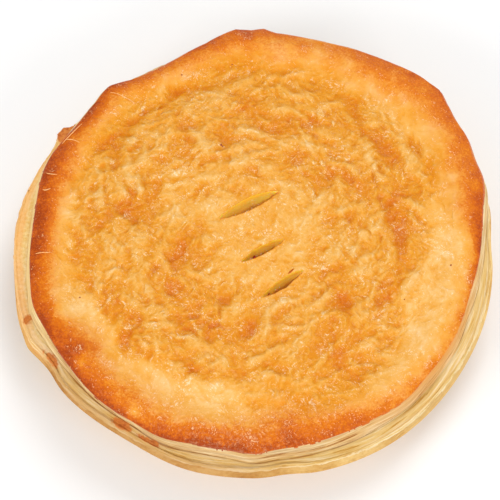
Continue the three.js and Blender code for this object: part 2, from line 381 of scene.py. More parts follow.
def lidSkin(x, y, share):
    # height of the skin, its tone from amber to pale, and how slack it is
    warpX, warpY = warped(x, y)
    field, calm = slackField(x, y, share), calmAt(x, y)
    forms = dict(
        waves=waveTrains(x, y, warpX, warpY), creases=creasesAt(warpX, warpY),
        crinkle=nearestCell(warpX, warpY, 7.7, 3.2) - 0.5, lumps=noiseAt(warpX, warpY, 11.3, 14),
        dents=-dentsAt(warpX, warpY),
    )
    relief = sum(lid["relief"][name] * form for name, form in forms.items())
    shade = sum(lid["shade"][name] * form for name, form in forms.items()) + 0.05
    skin = lidForm(share) + (lid["taut"] + (1 - lid["taut"]) * field) * calm * relief
    skin += lid["grain"] * noiseAt(x, y, 2.2, lid["grainSize"])

    band = lid["bandTone"] - 0.03 * x / lid["radius"] + 0.25 * shade
    band += 0.3 * noiseAt(x, y, 14.1, 8) + 0.2 * noiseAt(x, y, 16.3, 3)  # clouds of 8 and 3 mm
    slack = lid["slackTone"] + shade * (0.5 + 0.5 * calm) + 0.3 * (1 - calm)
    tone = band + (slack - band) * field
    for atX, atY, wide, paler in lid["patches"]:
        tone += paler * hump(np.hypot(x - atX, y - atY), wide)
    return skin, tone, field * calm


lid["scatter"] = scatterRipples()


def billowAt(x, y, share):
    return lid["billow"] * noiseAt(x, y, 5.9, lid["billowSize"]) * ease(share, 0.6, 0.95)


def topAt(x, y):
    # height of the skin above a few places
    x, y = np.array(x, dtype=float), np.array(y, dtype=float)
    share = np.hypot(x, y) / outlineAt(lid["radius"], lid, np.degrees(np.arctan2(y, x)) % 360)
    return lid["edge"] + lidSkin(x, y, share)[0] + billowAt(x, y, share)


def browningAt(x, y, degrees, inside):
    # dark at the edge and fading inwards, sharply at the left, with scorches
    at, depth, width = np.array(lid["browning"]).T
    depth, width = np.interp(degrees, at, depth, period=360), np.interp(degrees, at, width, period=360)
    sharp = 1.3 + 0.8 * sideAt(degrees, "sharpBrown")
    browning = depth * np.exp(-(np.clip(inside, 0, None) / width) ** sharp)
    for atX, atY, wide, darker in lid["scorches"]:
        browning += darker * hump(np.hypot(x - atX, y - atY), wide)
    lip = hump(inside, 1.8) * sideAt(degrees, "darkLip")  # where the skin ends at the low left
    return browning + 0.3 * lip


def skinDown(degrees):
    # share of the cut edge that the browned skin hangs over, ragged at 2.6 and 0.9 degrees
    level = np.zeros_like(degrees)
    ragged = noiseAt(degrees, level, 8.8, 2.6) + 0.6 * noiseAt(degrees, level, 2.8, 0.9)
    return withHumps(0.04 + 0.12 * np.clip(ragged, 0, 1), degrees, lid["skinHangs"])


def flareAt(degrees):
    return withHumps(np.full_like(degrees, lid["flare"]), degrees, lid["upright"])


def makeLid():
    startFresh()
    n, rings, belowRings = lid["cells"], lid["leafRings"], len(lid["underside"]) - 1
    bpy.ops.mesh.primitive_grid_add(x_subdivisions=n, y_subdivisions=n, size=2)
    obj = bpy.context.object
    obj.name = "puff_lid"
    editAll()
    bpy.ops.mesh.region_to_loop()
    for ring in range(rings + belowRings):  # cut edge, then the underside
        bpy.ops.mesh.extrude_edges_move(TRANSFORM_OT_translate=dict(value=(0, 0, -1)))
    bpy.ops.mesh.merge(type="CENTER")
    bpy.ops.object.mode_set(mode="OBJECT")

    u, v, level = readPoints(obj).T
    level = np.round(-level)
    x, y = u * np.sqrt(1 - v * v / 2), v * np.sqrt(1 - u * u / 2)  # square to disc
    share, degrees = np.hypot(x, y), np.degrees(np.arctan2(y, x)) % 360
    top, side, under = level == 0, (level > 0) & (level <= rings), level > rings
    ringBelow = (level - rings).clip(0, belowRings).astype(int)
    share = np.where(under, np.choose(ringBelow, lid["underside"]), share)
    edgeRadius = outlineAt(lid["radius"], lid, degrees)

    # down the cut edge: it flares, and its leaves stick out and wander up and down
    down = np.clip(level / rings, 0, 1)
    height = down * (lid["edge"] - lid["foot"]) + 0.9 * around(degrees, 26, down, 3.0)
    leaf = leavesAt(degrees, height, lid["leaves"])
    ragged = np.where(side, leaf * ease(down, 0.0, 0.12), 0)
    flare = flareAt(degrees)
    topRadius = lid["radius"] * share + (edgeRadius - lid["radius"]) * share ** 3
    radius = np.where(top, topRadius, edgeRadius + flare * down ** 0.8 + ragged)
    radius = np.where(under, (edgeRadius + flare - 1) * share, radius)
    turn = np.radians(degrees)
    x, y = radius * np.cos(turn), radius * np.sin(turn)

    skin, tone, slack = lidSkin(x, y, np.minimum(share, 1))
    z = lid["edge"] + skin + billowAt(x, y, share)
    foot = lid["foot"] + seamWave(degrees, radius)
    z = np.where(side, z + (foot - z) * down, z)
    z = np.where(under, foot, z)
    placePoints(obj, x, y, z)

    browning = browningAt(x, y, degrees, edgeRadius * (1 - share))
    storeOnPoints(
        obj,
        tone=np.where(top, tone, 0.5),
        browning=np.where(down < skinDown(degrees) + 0.1, browning, 0),
        slack=np.where(top, slack, 0),
        # painted sheen: more pale flecks and glints on the browned rim at the front
        fleck=sideAt(degrees, "flecked") * ease(share, 0.7, 0.85),
        leaf=np.where(top, 0, leaf),
        leafDepth=height,
        cutEdge=down,
        toast=sideAt(degrees, "toastedCut") * (1 - 0.6 * down),
        tanned=0.4 * tannedAt(degrees),
        # cream at the left, partly painted light over the cut edge's shade
        pressed=0.85 * sideAt(degrees, "pressed"),
    )

    editAll()
    bpy.ops.mesh.normals_make_consistent(inside=False)
    bpy.ops.object.mode_set(mode="OBJECT")
    print("lid shaped:", len(obj.data.polygons), "faces")
    return obj


def slitTaper(share):
    # a slit narrows towards its ends
    return 1 - np.abs(share) ** 1.6 * 0.35


def cutSlits(obj):
    lid["levels"] = [topAt([atX], [atY])[0] for atX, atY, *rest in lid["slits"]]
    cuts = [slit + (lid["slitDepth"], lid["slitLean"]) for slit in lid["slits"]]
    cuts += [scratch + (lid["scratchDepth"], 0) for scratch in lid["scratches"]]
    clearAbove = 4  # mm of the knife over the skin
    for atX, atY, length, opening, degrees, deepest, lean in cuts:
        startFresh()
        level = topAt([atX], [atY])[0]
        bpy.ops.mesh.primitive_uv_sphere_add(segments=48, ring_count=24, radius=1)
        knife = bpy.context.object
        knife.name = "knife"
        px, py, pz = readPoints(knife).T
        along = px * length / 2
        torn = 0.4 * lean * noiseAt(along + atX, py, 3.3, 2.5)
        across = py * opening / 2 * slitTaper(px) - lean * np.clip(-pz, 0, 1) + torn  # under the near lip
        x, y = alongAcross(along, across, -degrees)
        depth = np.where(pz < 0, pz * deepest, pz * clearAbove)
        placePoints(knife, x + atX, y + atY, depth + level)
        pickAll([obj])
        cut = obj.modifiers.new("slit", "BOOLEAN")
        cut.operation, cut.solver, cut.object = "DIFFERENCE", "EXACT", knife
        bpy.ops.object.modifier_apply(modifier="slit")
        bpy.data.objects.remove(knife)
    print("slits cut:", len(obj.data.polygons), "faces")


lidPiece = makeLid()
cutSlits(lidPiece)


# Pastry case

case = dict(
    radius=100, base=84, seam=26.6, rim=8.6, reach=7,  # mm
    heelOut=5, heelUp=3.6,  # mm, rounded foot of the wall
    leanIn=2.2, ledge=6.8,  # mm that the rim's edge leans in, and mm of ledge inside it
    pole=0.02,  # mm, where the rings close in the middle
    segments=720,
    leaves=[(0.7, 34, 1.7), (0.45, 12, 0.7)],  # mm out, mm round the pie, mm thick
    upperLeaf=0.7,  # mm that the upper leaf of the rim stands over the lower
    lumps=0.7, crumble=0.3,  # mm, unevenness of the wall and of the rim's edge
    outline=[  # degrees, mm out, degrees of spread
        (0, -0.6, 4), (10.5, 1.4, 5), (118, -6, 20), (139, -3.2, 6), (148.4, 2.5, 2.5), (150, -3.4, 16),
        (201, 1.2, 7), (206.5, 0.8, 2.5), (214, -1.2, 4), (238, -2, 12), (264, -0.5, 14), (278, -1.3, 5),
        (305, 1.4, 20), (338, 0.5, 14),
    ],
    corners=[],
    stains=[  # degrees, half width, mm up and over the rim, half of it, strength
        (201.5, 1.4, 9, 4, 0.8), (213.6, 3.6, 8, 2.6, 1), (237.2, 3.2, 8.6, 2.8, 1),
        (243.4, 2.8, 8.4, 2, 0.85), (246, 1.8, 8.6, 2, 1),
    ],
)


def caseProfile():
    # radius and height: out along the base, up the wall and the rim, in over the ledge and under the lid
    out, base, top = case["radius"], case["base"], case["seam"]
    foot, wallTop, heelOut, heelUp = top - case["rim"], out - case["reach"], case["heelOut"], case["heelUp"]
    points = [(case["pole"], 0), (base * 0.55, 0), (base - heelOut, 0)]
    points += [(base - heelOut + heelOut * math.sin(t), heelUp - heelUp * math.cos(t))
               for t in np.radians([20, 40, 60, 80])]
    points += [(base + (wallTop - base) * t, heelUp + (foot - heelUp - 1.2) * t)
               for t in np.linspace(0.1, 1, 10)]
    points += [(wallTop + 2.2, foot - 0.4), (out - 2.6, foot), (out - 0.9, foot + 0.4)]  # below the rim
    rimStart = len(points)
    points += [(out - case["leanIn"] * t ** 1.3, foot + 1 + (case["rim"] - 1) * t)
               for t in np.linspace(0, 1, 26)]
    points += [(out - case["leanIn"] - case["ledge"] * t, top) for t in np.linspace(0.04, 1, 22)]
    points += [(seam["full"], top), (seam["starts"], top), (case["pole"], top)]
    return np.array(points), rimStart


def makeCase():
    startFresh()
    profile, rimStart = caseProfile()
    bpy.ops.mesh.primitive_circle_add(vertices=case["segments"], radius=1, fill_type="NOTHING")
    obj = bpy.context.object
    obj.name = "shortcrust_case"
    editAll()
    for step in profile[1:]:
        bpy.ops.mesh.extrude_edges_move(TRANSFORM_OT_translate=dict(value=(0, 0, 1)))
    bpy.ops.object.mode_set(mode="OBJECT")

    u, v, level = readPoints(obj).T
    level = np.round(level).astype(int)
    degrees = np.degrees(np.arctan2(v, u)) % 360
    radius, z = profile[level].T
    lengths = np.hypot(*np.diff(profile, axis=0).T)
    run = np.concatenate([[0], np.cumsum(lengths)])  # mm up the rim and in over the ledge
    run = np.clip(run - run[rimStart], -1, 20)[level]
    out, top = case["radius"], case["seam"]
    foot, wallTop = top - case["rim"], out - case["reach"]
    onRim = ease(run, 0, 0.5) * ease(radius, out - 9, out - 7)
    ledge = ease(run, 6.8, 8.6)  # 0 on the upright edge, 1 on the ledge
    onEdge = onRim * (1 - ledge)

    # leafy, crumbly edge, uneven wall below it and the ragged flake at the back left
    wander = 1.2 * around(degrees, 24, run, 9)
    leaf = leavesAt(degrees, run + wander, case["leaves"])
    lip = -case["upperLeaf"] * (1 - ease(z + 0.9 * around(degrees, 4, z, 30), 22.9, 23.4))
    lumps = case["lumps"] * around(degrees, 30, z, 14) * ease(radius, 70, 84) * ease(z, 0.5, 4)
    shift = outlineAt(out, case, degrees) - out
    grown = radius + shift * ease(radius, 80, wallTop - 1) + onEdge * (leaf + lip) + (1 - onRim) * lumps
    grown += case["crumble"] * onEdge * around(degrees, 2.5, z, 4)
    flake = sideAt(degrees, "flake") * ease(radius, out - 9, out - 5) * ease(z, foot, foot + 2)
    grown += flake * (0.9 * around(degrees, 1.6, z, 6) + 0.6 * around(degrees, 0.8, z, 6))
    plain = sideAt(degrees, "smoothLedge")
    rounding = 1.1 * ease(radius, out - 7, out - 1) + 0.1 + 0.3 * (0.7 - leaf) * (1 - 0.8 * plain)
    height = z + np.clip(z / top, 0, 1) * seamWave(degrees, radius) - onRim * ledge * rounding
    turn = np.radians(degrees)
    placePoints(obj, grown * np.cos(turn), grown * np.sin(turn), height)

    stain = np.zeros_like(run)
    for at, wide, across, tall, strength in case["stains"]:
        away = np.hypot(turnBetween(degrees, at) / wide, (run - across) / tall)
        stain = np.maximum(stain, strength * hump(away, 1))
    lidFoot = outlineAt(lid["radius"], lid, degrees) + flareAt(degrees)
    # painted shadow in the gap under the lid's foot: deeper at the low left, almost none at the left
    tuck = 1 + 0.6 * sideAt(degrees, "tucked") - 0.9 * sideAt(degrees, "pressed")
    warm = ease(radius, out - 6.5, out - 3.5) * ease(z, foot, foot + 2)
    upright = ease(z, foot - 2, foot)
    storeOnPoints(
        obj,
        leaf=onRim * leaf,
        height=z,
        run=run + 0.5 * wander,
        tuck=onRim * ledge * hump(grown - lidFoot - 0.1, 0.4) * tuck,
        fray=0.25 + 0.75 * sideAt(degrees, "frayed"),
        # browner and darker from the low left to the front, partly painted shade
        tanned=tannedAt(degrees) * upright * (1 - 0.6 * ledge),
        # paler wall at the low right: painted light over its shade
        pale=0.6 * sideAt(degrees, "paleEdge") * upright,
        stain=stain * onRim,
        toast=sideAt(degrees, "warmEdge") * warm,
        scorch=flake * (0.5 + 0.5 * ease(z, foot + 2, top)),
        buttery=sideAt(degrees, "buttery") * onRim * ease(run, 4, 7),
        plain=plain * onRim * ease(run, 5.5, 7.5),
    )
    editAll()
    bpy.ops.mesh.remove_doubles(threshold=0.1 * mm)
    bpy.ops.mesh.normals_make_consistent(inside=False)
    bpy.ops.object.mode_set(mode="OBJECT")
    print("case shaped:", len(obj.data.polygons), "faces")
    return obj


casePiece = makeCase()


# Loose bits on the crust and in the slits

strands = dict(
    width=0.45, lift=0.15,  # mm
    thickness=(0.5, 1, 1, 0.9, 0.3),  # along a thread
    lines=[  # x, y of start, middle and end
        ((-79.4, 38.1), (-75.7, 43.3), (-71.6, 48.0)), ((-77.8, 40.4), (-74.8, 39.9), (-72.0, 38.3)),
        ((-60.2, 63.0), (-55.1, 61.1), (-49.5, 57.8)), ((-85.0, 24.2), (-83.1, 23.4), (-80.4, 22.9)),
        ((-86.0, 16.7), (-84.8, 16.0), (-82.8, 16.7)), ((-87.5, -12.0), (-84.9, -11.6), (-80.9, -11.8)),
    ],
)
specks = dict(
    dent=0.35, flatness=0.6,
    crust=[  # x, y, radius on the lid
        (-69, -30.4, 0.35), (79.8, -17, 0.35), (-13.1, 37.2, 0.5), (-12.5, 36.6, 0.4), (-8.7, 77.5, 0.35),
        (60.5, -31.5, 0.3), (-30, 71, 0.3),
    ],
    meat=[(1, -3.6, 4.2, 0.75), (1, -5, 3.8, 0.4), (2, -6.4, 3, 0.5)],  # slit, along it, depth, radius
    # pale specks that stand in for moist glints in the slits: painted highlights
    fat=[  # the same
        (0, -6, 5.6, 0.3), (0, -3.4, 6.4, 0.25), (0, -1, 6.8, 0.35), (0, 1.5, 6.5, 0.25),
        (0, 4.5, 6, 0.25), (1, -5.2, 3.6, 0.4), (1, -2.2, 4.4, 0.3), (1, -0.4, 4.6, 0.4),
        (1, 2.4, 4.2, 0.3), (2, -3, 4, 0.3), (2, -1, 4.2, 0.35),
    ],
)


def makeStrands():
    pieces = []
    t = np.linspace(0, 1, len(strands["thickness"]))
    weights = (1 - t) * (1 - 2 * t), 4 * t * (1 - t), t * (2 * t - 1)  # a curve through three points
    for line in strands["lines"]:
        x, y = [sum(weight * point[axis] for weight, point in zip(weights, line)) for axis in (0, 1)]
        z = topAt(x, y) + strands["lift"]
        startFresh()
        bpy.ops.curve.primitive_nurbs_path_add()
        thread = bpy.context.object
        thread.data.bevel_depth, thread.data.bevel_resolution = strands["width"] / 2 * mm, 1
        thread.data.use_fill_caps = True
        for point, a, b, c, thick in zip(thread.data.splines[0].points, x, y, z, strands["thickness"]):
            point.co = ((a + pieMiddle[0]) * mm, (b + pieMiddle[1]) * mm, c * mm, 1)
            point.radius = thick
        bpy.ops.object.convert(target="MESH")
        pieces.append(bpy.context.object)
    return joinAll(pieces, "pastry_strands")


def makeSpecks(name, spots):
    pieces = []
    for x, y, z, radius in spots:
        startFresh()
        bpy.ops.mesh.primitive_ico_sphere_add(subdivisions=3, radius=radius * mm)
        crumb = bpy.context.object
        px, py, pz = readPoints(crumb).T / mm
        dent = 1 + specks["dent"] * noiseAt(px + x, py + y, pz, 0.6)
        placePoints(crumb, px * dent + x, py * dent + y, pz * dent * specks["flatness"] + z)
        pieces.append(crumb)
    return joinAll(pieces, name)


def onFarWall(slit, along, depth, radius):
    # place on the wall of a slit that faces the front
    atX, atY, length, opening, degrees = lid["slits"][slit]
    px, pz = along / (length / 2), depth / lid["slitDepth"]
    across = math.sqrt(1 - px ** 2 - pz ** 2) * opening / 2 * slitTaper(px) - lid["slitLean"] * pz
    x, y = alongAcross(along, across, -degrees)
    return x + atX, y + atY, lid["levels"][slit] - depth, radius


strandPiece = makeStrands()
crustSpecks = makeSpecks("baked_specks", [(x, y, topAt([x], [y])[0], r) for x, y, r in specks["crust"]])
meatSpecks = makeSpecks("steak_specks", [onFarWall(*spot) for spot in specks["meat"]])
fatSpecks = makeSpecks("fat_specks", [onFarWall(*spot) for spot in specks["fat"]])
print("loose bits made")


# Materials

def startMaterial(name):
    material = bpy.data.materials.new(name)
    material.use_nodes = True
    tree = material.node_tree
    return material, partial(addNode, tree), tree.nodes["Principled BSDF"]


def glazedPuff():
    # egg-washed puff pastry, baked: amber in the dents, pale on the ridges, browned and glossy at the rim,
    # with painted glints
    sizes = dict(grain=0.9, blotch=7, drift=4, swirl=22, fold=14, pleat=5.5, flake=1.4, gleam=0.6)  # mm
    per = {name: 1 / (size * mm) for name, size in sizes.items()}
    material, add, surface = startMaterial("egg_washed_puff_pastry")
    place = add("TexCoord").outputs["Object"]
    tone, brown, slack, fleck = [add("Attribute", attribute_name=name).outputs["Fac"]
                                 for name in ("tone", "browning", "slack", "fleck")]
    fine = add("TexNoise", {"Vector": place, "Scale": per["grain"], "Detail": 3, "Roughness": 0.7})
    blotch = add("TexNoise", {"Vector": place, "Scale": per["blotch"], "Detail": 4, "Roughness": 0.6})

    # pleats of two sizes, which run round the pie and swing to and fro
    drift = add("TexNoise", {"Vector": place, "Scale": per["drift"], "Detail": 2})
    pull = add("VectorMath", (drift.outputs["Color"], (0.5, 0.5, 0.5)), operation="SUBTRACT")
    away = add("VectorMath", (pull, (5 * mm, 5 * mm, 5 * mm), place), operation="MULTIPLY_ADD")
    spot = add("SeparateXYZ", {0: place})
    turn = add("Math", (spot.outputs[1], spot.outputs[0]), operation="ARCTAN2")
    swirl = add("TexNoise", {"Vector": place, "Scale": per["swirl"], "Detail": 1})
    swing = add("MapRange", (swirl, 0.25, 0.75, -2, 2), clamp=False)
    lie = add("Math", (turn, swing), operation="ADD")
    broad, narrow = [add("TexGabor", {"Vector": away, "Scale": per[name], "Frequency": often,
                                      "Anisotropy": straight, "Orientation": lie})
                     for name, often, straight in (("fold", 2.4, 0.7), ("pleat", 2.2, 0.5))]
    pleat = add("Math", (broad, narrow), operation="ADD")
    crumple = add("MapRange", (pleat, 0.4, 1.6, -0.42, 0.42), clamp=False)
    sawtooth = add("MapRange", (broad.outputs["Phase"], 0.3, 0.5, -1, 1))
    beyond = add("MapRange", (broad.outputs["Phase"], 0.5, 0.62, 1, 0))
    strong = add("MapRange", (broad.outputs["Intensity"], 0.35, 0.9, 0, 0.3))
    thread = add("Math", (sawtooth, beyond), operation="MULTIPLY")
    crease = add("Math", (thread, strong, crumple), operation="MULTIPLY_ADD")

    # baked skin: the tone, the pleats and a sandy grain give the colour between amber and pale
    grain = add("MapRange", (fine, 0.3, 0.7, -0.15, 0.15), clamp=False)
    share = add("MapRange", (slack, 0, 1, 0.5))
    sand = add("MapRange", (slack, 0, 1, 0.65))
    rough = add("Math", (grain, sand), operation="MULTIPLY")
    texture = add("Math", (crease, share, rough), operation="MULTIPLY_ADD")
    mixed = add("Math", (tone, texture), operation="ADD")
    spread = add("MapRange", (mixed, -0.4, 1.4))
    skin = add("ValToRGB", {"Fac": spread}, stops=[
        (0.05, "#da7402"), (0.25, "#e08406"), (0.4, "#e48f14"), (0.5, "#e89924"), (0.6, "#eca43a"),
        (0.75, "#f0b45a"), (0.95, "#f6c886")])

    # browned rim, speckled and patchy
    speckle = add("MapRange", (fine, 0.3, 0.7, -0.28, 0.28), clamp=False)
    patch = add("MapRange", (blotch, 0.3, 0.7, 0.73, 1.37), clamp=False)
    uneven = add("Math", (brown, patch), operation="MULTIPLY")
    bake = add("Math", (speckle, brown, uneven), operation="MULTIPLY_ADD")
    rim = add("ValToRGB", {"Fac": bake}, stops=[
        (0.1, "#ee9812"), (0.3, "#e68408"), (0.5, "#d86e05"), (0.7, "#c45603"), (0.95, "#a43e01")])
    amount = add("MapRange", (bake, 0.04, 0.42))
    baked = add("Mix", {0: amount, 6: skin, 7: rim}, data_type="RGBA")

    # pale dry flakes that are partly painted sheen, and small painted glints of the glaze, fewer where it is
    # browned, more at the front
    flakes = add("TexNoise", {"Vector": away, "Scale": per["flake"], "Detail": 3, "Roughness": 0.8})
    less = add("Math", (brown, -0.45, flakes), operation="MULTIPLY_ADD")
    crisp = add("Math", (fleck, brown), operation="MULTIPLY")
    few = add("Math", (crisp, 0.45, less), operation="MULTIPLY_ADD")
    # the pale flakes are partly dry crust and partly painted sheen of the glaze
    dry = add("MapRange", (few, 0.5, 0.78, 0, 0.32))
    flaked = add("Mix", {0: dry, 6: baked, 7: toLinear("#ffe0b0")}, data_type="RGBA")
    gleam = add("TexNoise", {"Vector": away, "Scale": per["gleam"], "Detail": 1})
    crest = add("Math", (pleat, 0.25, gleam), operation="MULTIPLY_ADD")
    shiny = add("Math", (fleck, 0.06, crest), operation="MULTIPLY_ADD")
    duller = add("Math", (brown, -0.11, shiny), operation="MULTIPLY_ADD")
    patchy = add("Math", (blotch, 0.6, duller), operation="MULTIPLY_ADD")
    # painted glints: pale specks of colour on the pleat crests, warmer on the browned rim
    glint = add("MapRange", (patchy, 1.19, 1.34, 0, 0.62))
    warmth = add("Mix", {0: brown, 6: toLinear("#ffecc8"), 7: toLinear("#ffc070")}, data_type="RGBA")
    colour = add("Mix", {0: glint, 6: flaked, 7: warmth}, data_type="RGBA")
    bump = add("Bump", {"Height": texture, "Strength": 0.7, "Distance": 1.2 * mm})
    setInputs(surface, {"Base Color": colour, "Normal": bump, "Roughness": 0.3, "IOR": 1.45,
                        "Specular IOR Level": 0.2})
    return material


def cutLayers():
    # cut edge of risen puff pastry: thin pale leaves with darker gaps, dry
    material, add, surface = startMaterial("cut_puff_leaves")
    place = add("TexCoord").outputs["Object"]
    leaf, depth, toast, tanned, pressed = [add("Attribute", attribute_name=name).outputs["Fac"]
                                           for name in ("leaf", "leafDepth", "toast", "tanned", "pressed")]

    # leaves 14 mm long and 0.65 mm thick, counted down the edge
    spot = add("SeparateXYZ", {0: place})
    sheet = add("CombineXYZ", (spot.outputs[0], spot.outputs[1], depth))
    stretched = add("Mapping", {"Vector": sheet, "Scale": (1 / (14 * mm), 1 / (14 * mm), 1 / 0.65)})
    lines = add("TexNoise", {"Vector": stretched, "Scale": 1, "Detail": 3, "Roughness": 0.6})
    tone = add("MapRange", (leaf, -0.6, 0.6, -0.2, 0.2))
    thin = add("MapRange", (lines, 0.35, 0.65))
    mixed = add("Math", (tone, thin), operation="ADD")
    colour = add("ValToRGB", {"Fac": mixed}, stops=[
        (0.0, "#9c6024"), (0.14, "#cfa060"), (0.5, "#e2bc7e"), (1.0, "#f6dfae")])

    # greyer sheets, a toasted stretch, the tan and painted shade of the low left, and cream with painted
    # light at the left
    sheets = add("TexNoise", {"Vector": stretched, "Scale": 0.45, "Detail": 1})
    stale = add("MapRange", (sheets, 0.48, 0.66, 0, 0.6))
    for amount, code, blend in ((stale, "#ccac80", "MIX"), (toast, "#e6a04e", "MIX"),
                                (tanned, seam["tan"], "MULTIPLY"), (pressed, "#f6d28c", "MIX")):
        colour = add("Mix", {0: amount, 6: colour, 7: toLinear(code)}, data_type="RGBA", blend_type=blend)
    bump = add("Bump", {"Height": thin, "Strength": 0.6, "Distance": 0.5 * mm})
    setInputs(surface, {"Base Color": colour, "Normal": bump, "Roughness": 0.75, "Specular IOR Level": 0.25})
    return material


def slitCrumb():
    # steamed crumb in a knife slit: ochre below the skin, paler further down, painted shade under the near
    # lip, painted moist glints, soft to light
    material, add, surface = startMaterial("slit_crumb")
    place = add("TexCoord").outputs["Object"]
    deep = add("Attribute", attribute_name="slitDepth").outputs["Fac"]
    fine = add("TexNoise", {"Vector": place, "Scale": 1 / (0.8 * mm), "Detail": 3})
    level = add("Math", (fine, 0.3, deep), operation="MULTIPLY_ADD")
    reach = add("MapRange", (level, 0.15, 1.25))
    # the last stop is painted shade where the near lip hides the wall
    crumb = add("ValToRGB", {"Fac": reach}, stops=[
        (0.0, "#ffc038"), (0.3, "#ffc844"), (0.45, "#ffd868"), (0.72, "#ffda68"), (0.86, "#dea23a")])
    # pale specks low in the slit: painted moist glints
    moist = add("MapRange", (fine, 0.6, 0.72, 0, 0.7))
    lower = add("MapRange", (deep, 0.3, 0.5))
    wet = add("Math", (moist, lower), operation="MULTIPLY")
    colour = add("Mix", {0: wet, 6: crumb, 7: toLinear("#fff8e0")}, data_type="RGBA")
    bump = add("Bump", {"Height": fine, "Strength": 0.5, "Distance": 0.8 * mm})
    setInputs(surface, {"Base Color": colour, "Normal": bump, "Roughness": 0.35, "Subsurface Weight": 1.0,
                        "Subsurface Radius": (1, 0.6, 0.25), "Subsurface Scale": 7 * mm})
    return material


def bakedShortcrust():
    # pale baked case: cream leafy rim with a ragged lip, tan where it met the plate, stained in places
    material, add, surface = startMaterial("baked_shortcrust")
    place = add("TexCoord").outputs["Object"]
    names = ("leaf", "height", "run", "plain", "pale", "fray", "tanned", "buttery", "tuck", "toast",
             "scorch", "stain")
    own = {name: add("Attribute", attribute_name=name).outputs["Fac"] for name in names}
    fine = add("TexNoise", {"Vector": place, "Scale": 1 / (1.5 * mm), "Detail": 3})
    blotch = add("TexNoise", {"Vector": place, "Scale": 1 / (12 * mm), "Detail": 4})
    wide = add("TexNoise", {"Vector": place, "Scale": 1 / (30 * mm), "Detail": 3})

    # cream rim: leaves 15 mm long and 0.75 mm thick, floury where it is pressed plain
    spot = add("SeparateXYZ", {0: place})
    sheet = add("CombineXYZ", (spot.outputs[0], spot.outputs[1], own["run"]))
    stretched = add("Mapping", {"Vector": sheet, "Scale": (1 / (15 * mm), 1 / (15 * mm), 1 / 0.75)})
    lines = add("TexNoise", {"Vector": stretched, "Scale": 1, "Detail": 4, "Roughness": 0.65})
    tone = add("MapRange", (own["leaf"], -0.6, 0.6, -0.3, 0.3))
    floury = add("MapRange", (fine, 0.3, 0.7, 0.5, 1.1))
    leafy = add("MapRange", (lines, 0.32, 0.68))
    thin = add("Mix", {0: own["plain"], 2: leafy, 3: floury})
    mixed = add("Math", (tone, thin), operation="ADD")
    cream = add("ValToRGB", {"Fac": mixed}, stops=[
        (0.0, "#c8903c"), (0.2, "#e4bc6c"), (0.6, "#ebca88"), (1.0, "#f7e2b6")])

    # tan wall, with darker patches from the oven below the rim
    mottle = add("Math", (fine, 0.3, blotch), operation="MULTIPLY_ADD")
    tan = add("ValToRGB", {"Fac": mottle}, stops=[
        (0.4, "#c48e46"), (0.62, "#d8a95e"), (0.85, "#eac47e")])
    oven = add("MapRange", (wide, 0.45, 0.7, 0, 0.55))
    below = add("MapRange", (own["height"], 14, 19, 1, 0))
    dark = add("Math", (oven, below), operation="MULTIPLY")
    tan = add("Mix", {0: dark, 6: tan, 7: toLinear("#c27e34")}, data_type="RGBA")
    # painted light: the wall is paler at the low right, over its shade
    tan = add("Mix", {0: own["pale"], 6: tan, 7: toLinear("#efcd8a")}, data_type="RGBA")

    # the two meet in a ragged white lip, about 24 mm up
    ragged = add("Math", (fine, 2.6, own["height"]), operation="MULTIPLY_ADD")
    up = add("MapRange", (ragged, 24.2, 24.8))
    above = add("MapRange", (ragged, 25, 25.9, 0.55, 0))
    rag = add("Math", (up, above), operation="MULTIPLY")
    frayedLip = add("Math", (rag, own["fray"]), operation="MULTIPLY")
    colour = add("Mix", {0: up, 6: tan, 7: cream}, data_type="RGBA")

    # brown line of painted shadow where the lid's foot meets the ledge, warm patches at the left, burnt
    # flake and stains
    broken = add("Math", (own["tuck"], blotch), operation="MULTIPLY")
    shade = add("MapRange", (broken, 0.25, 0.55, 0, 0.8))
    patchy = add("Math", (own["toast"], blotch), operation="MULTIPLY")
    warm = add("MapRange", (patchy, 0.1, 0.45, 0, 0.55))
    for amount, code, blend in ((frayedLip, "#f8eccc", "MIX"), (own["tanned"], seam["tan"], "MULTIPLY"),
                                (own["buttery"], "#fff3d2", "MULTIPLY"), (shade, "#a0601e", "MIX"),
                                (warm, "#f2a95c", "MIX")):
        colour = add("Mix", {0: amount, 6: colour, 7: toLinear(code)}, data_type="RGBA", blend_type=blend)
    burnt = add("ValToRGB", {"Fac": fine}, stops=[(0.3, "#ba581a"), (0.7, "#de8838")])
    both = add("Math", (own["scorch"], own["stain"]), operation="MAXIMUM")
    frayed = add("Math", (blotch, 0.6, both), operation="MULTIPLY_ADD")
    torn = add("Math", (fine, 0.9, frayed), operation="MULTIPLY_ADD")
    part = add("MapRange", (torn, 1.16, 1.38, 0, 0.95))
    colour = add("Mix", {0: part, 6: colour, 7: burnt}, data_type="RGBA")
    gritty = add("Math", (fine, 0.8, thin), operation="MULTIPLY_ADD")
    bump = add("Bump", {"Height": gritty, "Strength": 0.5, "Distance": 0.5 * mm})
    setInputs(surface, {"Base Color": colour, "Normal": bump, "Roughness": 0.72, "Specular IOR Level": 0.25})
    return material


def looseBit(name, dark, light, rough):
    # small bits: dry pale thread, charred crumb, moist meat, and pale specks of painted moist glints,
    # mottled at half a millimetre
    material, add, surface = startMaterial(name)
    place = add("TexCoord").outputs["Object"]
    fine = add("TexNoise", {"Vector": place, "Scale": 1 / (0.5 * mm), "Detail": 2})
    colour = add("ValToRGB", {"Fac": fine}, stops=[(0.35, dark), (0.65, light)])
    setInputs(surface, {"Base Color": colour, "Roughness": rough})
    return material


def readAttribute(obj, name):
    values = np.empty(len(obj.data.vertices))
    obj.data.attributes[name].data.foreach_get("value", values)
    return values


